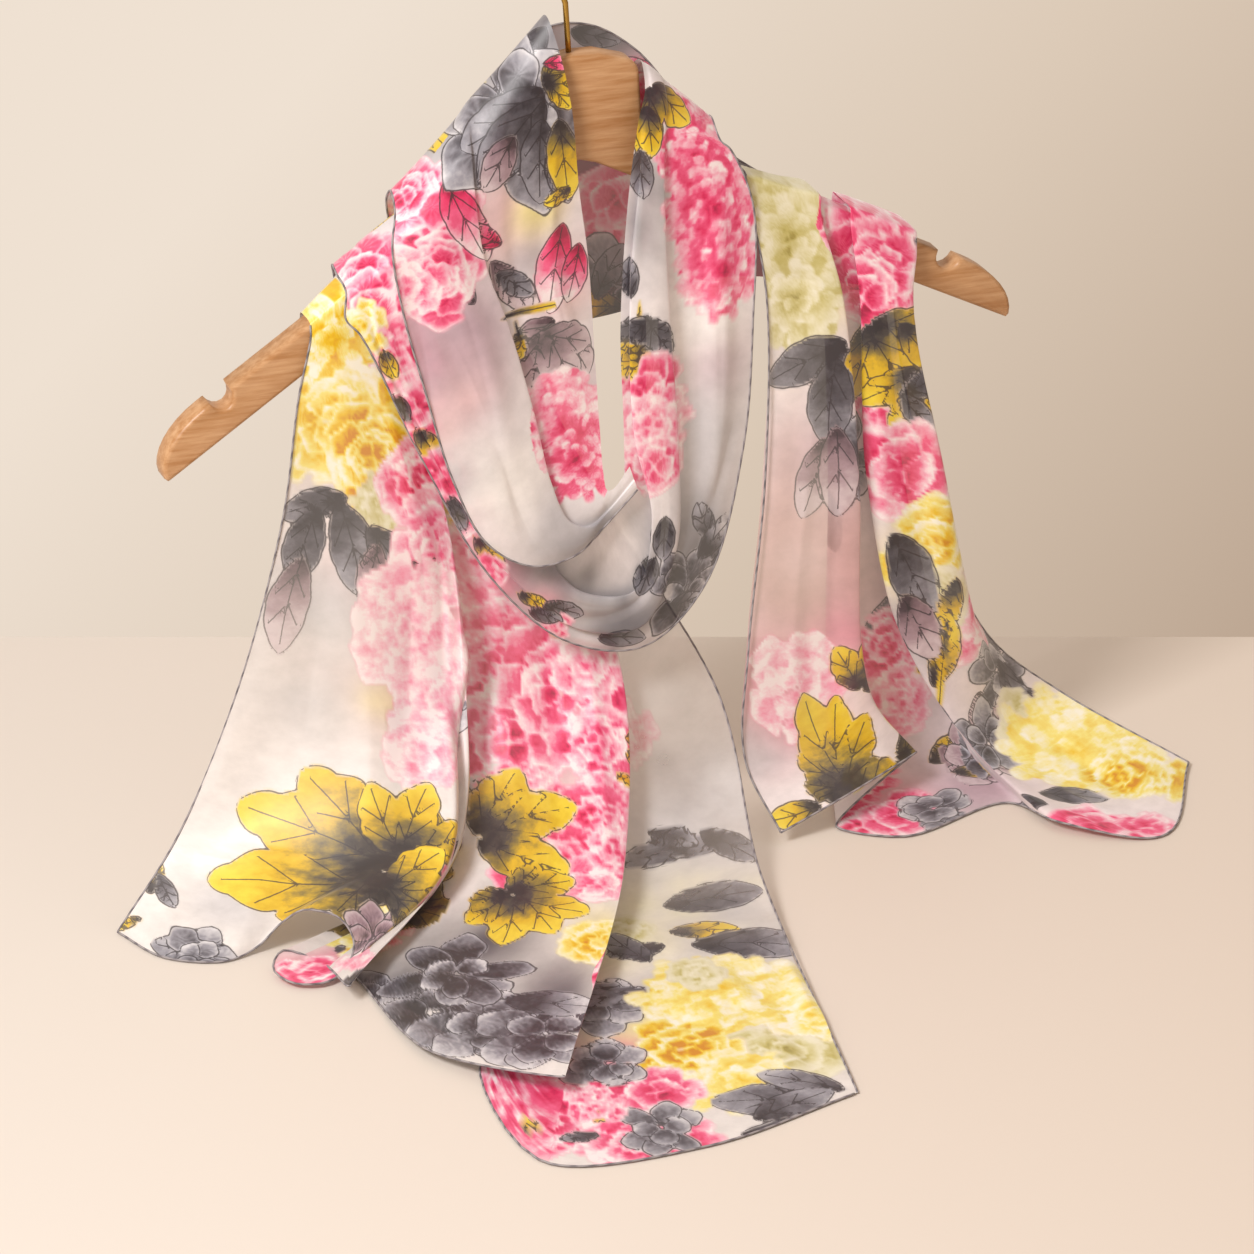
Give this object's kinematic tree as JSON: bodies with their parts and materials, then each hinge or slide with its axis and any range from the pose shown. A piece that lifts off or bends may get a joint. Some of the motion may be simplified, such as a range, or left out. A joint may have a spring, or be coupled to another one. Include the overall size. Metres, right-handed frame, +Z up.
{
  "type": "chiffon scarf on wooden hanger",
  "caption": "Long printed chiffon scarf wound once round a wooden hanger's neck, its ends draped forward and spread at the foot.",
  "frame": {"origin": "inside top of the hanger's hook, where the rail carries it", "axes": "+X along the hanger to the viewer's right, -Y to the front, +Z up"},
  "size_m": [0.5825, 0.4026, 0.4876],
  "materials": {
    "left_tail_chiffon": "sheer printed chiffon",
    "band_chiffon": "sheer printed chiffon",
    "loop_chiffon": "sheer printed chiffon",
    "wrap_chiffon": "sheer printed chiffon",
    "right_tail_chiffon": "sheer printed chiffon",
    "hanger_wood": "satin clear lacquer",
    "hook_brass": "satin wire"
  },
  "bodies": {
    "root": {"left_tail": "left_tail_chiffon", "front_band": "band_chiffon", "main_loop": "loop_chiffon", "neck_wrap": "wrap_chiffon", "right_tail": "right_tail_chiffon", "hanger_shoulders": "hanger_wood", "hanger_hook": "hook_brass"}
  },
  "joints": []
}
